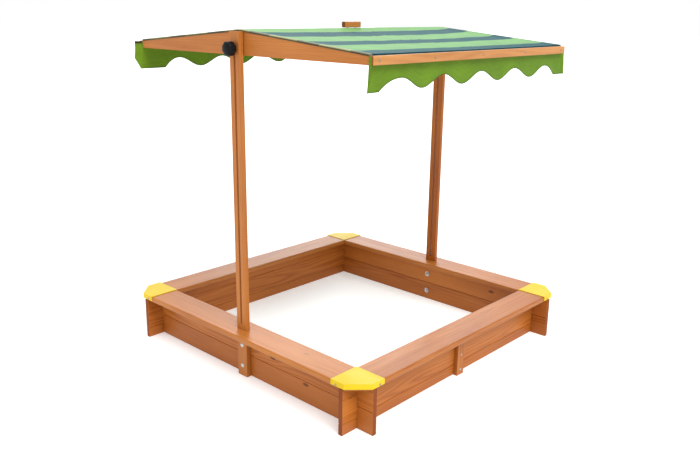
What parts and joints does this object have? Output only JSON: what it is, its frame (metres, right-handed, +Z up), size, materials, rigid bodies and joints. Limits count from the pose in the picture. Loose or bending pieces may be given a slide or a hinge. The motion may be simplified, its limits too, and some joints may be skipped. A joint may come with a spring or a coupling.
{
  "type": "sandbox with cover",
  "caption": "Square timber sandbox with seat planks, moulded corner caps and a striped cloth roof that slides and tilts on slotted posts",
  "frame": {"origin": "on the ground, in the middle of the box", "axes": "+X to the right side, +Y to the back, +Z up; the posts stand at -Y and +Y and the roof ridge runs along Y"},
  "size_m": [1.1882, 1.1882, 1.1992],
  "materials": {
    "side_wood": "glazed softwood, satin",
    "seat_wood": "glazed softwood planks, satin",
    "post_wood": "glazed softwood, satin",
    "roof_wood": "glazed softwood, satin",
    "cap_plastic": "moulded, soft gloss",
    "steel": "zinc plated",
    "brass": "turned",
    "knob_plastic": "moulded, slightly textured",
    "striped_cloth": "woven polyester, light green and teal stripes",
    "valance_cloth": "woven polyester, plain green"
  },
  "bodies": {
    "base": {"front_board_lower": "side_wood", "front_board_upper": "side_wood", "back_board_lower": "side_wood", "back_board_upper": "side_wood", "left_board_bottom": "side_wood", "left_board_middle": "side_wood", "left_board_top": "side_wood", "right_board_bottom": "side_wood", "right_board_middle": "side_wood", "right_board_top": "side_wood", "cleat_left": "side_wood", "cleat_right": "side_wood", "seat_front": "seat_wood", "seat_back": "seat_wood", "seat_left": "seat_wood", "seat_right": "seat_wood", "post_front": "post_wood", "post_back": "post_wood", "cap_front_left": "cap_plastic", "cap_front_right": "cap_plastic", "cap_back_left": "cap_plastic", "cap_back_right": "cap_plastic", "post_bolts": "steel", "post_washers": "steel", "post_dome_nuts": "steel", "seat_screws": "steel", "cap_screws": "steel", "cleat_screws": "steel"},
    "pivots": {"pivot_bolts": "steel", "pivot_inner_washers": "steel", "pivot_outer_washers": "steel"},
    "canopy": {"gable_front": "roof_wood", "gable_back": "roof_wood", "ridge_beam": "roof_wood", "ridge_block": "roof_wood", "eave_rail_left": "roof_wood", "eave_rail_right": "roof_wood", "eave_batten_left": "roof_wood", "eave_batten_right": "roof_wood", "roof_cloth": "striped_cloth", "valance_left": "valance_cloth", "valance_right": "valance_cloth", "gable_screws": "steel", "batten_screws": "steel", "block_screws": "steel"},
    "knob_front": {"knob_front": "knob_plastic", "knob_bush_front": "brass"},
    "knob_back": {"knob_back": "knob_plastic", "knob_bush_back": "brass"}
  },
  "joints": [
    {"name": "canopy_height", "type": "slide", "parent": "base", "child": "pivots", "axis": [0, 0, 1], "range_m": [-0.65, 0]},
    {"name": "canopy_tilt", "type": "hinge", "parent": "pivots", "child": "canopy", "pos_m": [0, 0, 1.118], "axis": [0, 1, 0], "range_deg": [-20, 20]},
    {"name": "knob_front_turn", "type": "hinge", "parent": "pivots", "child": "knob_front", "pos_m": [0, -0.565, 1.118], "axis": [0, -1, 0], "continuous": true},
    {"name": "knob_back_turn", "type": "hinge", "parent": "pivots", "child": "knob_back", "pos_m": [0, 0.565, 1.118], "axis": [0, 1, 0], "continuous": true}
  ]
}
